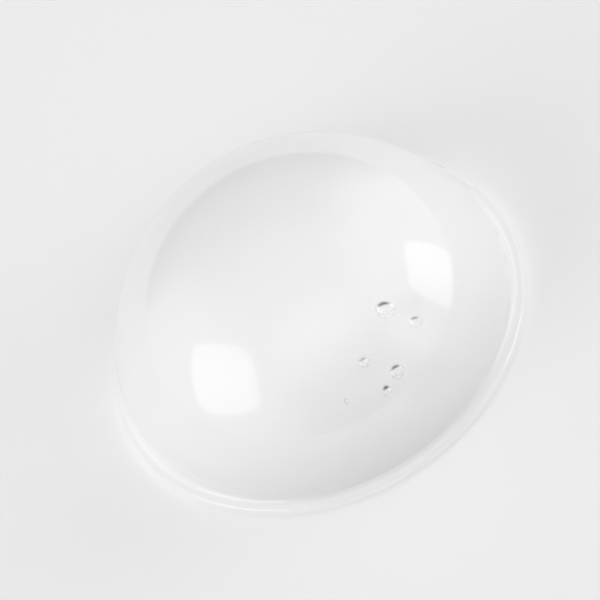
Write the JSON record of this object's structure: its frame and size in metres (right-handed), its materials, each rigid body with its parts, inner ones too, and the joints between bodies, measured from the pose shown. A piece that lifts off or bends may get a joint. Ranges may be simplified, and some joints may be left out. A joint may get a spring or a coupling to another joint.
{
  "type": "cabinet door bumper",
  "caption": "Clear dome-shaped self-adhesive bumper that cushions a cabinet door or drawer front as it closes.",
  "frame": {"origin": "centre of the adhesive face, the flat side that sticks to the door", "axes": "+Z along the dome's axis, from the adhesive face towards the crown; +X and +Y lie in the adhesive face, and the part is round, so any pair will do"},
  "size_m": [0.011, 0.011, 0.0051],
  "materials": {
    "clear_polyurethane": "clear, smooth and glossy, as cast",
    "clear_adhesive": "clear, faintly hazy, tacky"
  },
  "bodies": {
    "root": {"dome": "clear_polyurethane", "adhesive_film": "clear_adhesive"}
  },
  "joints": []
}
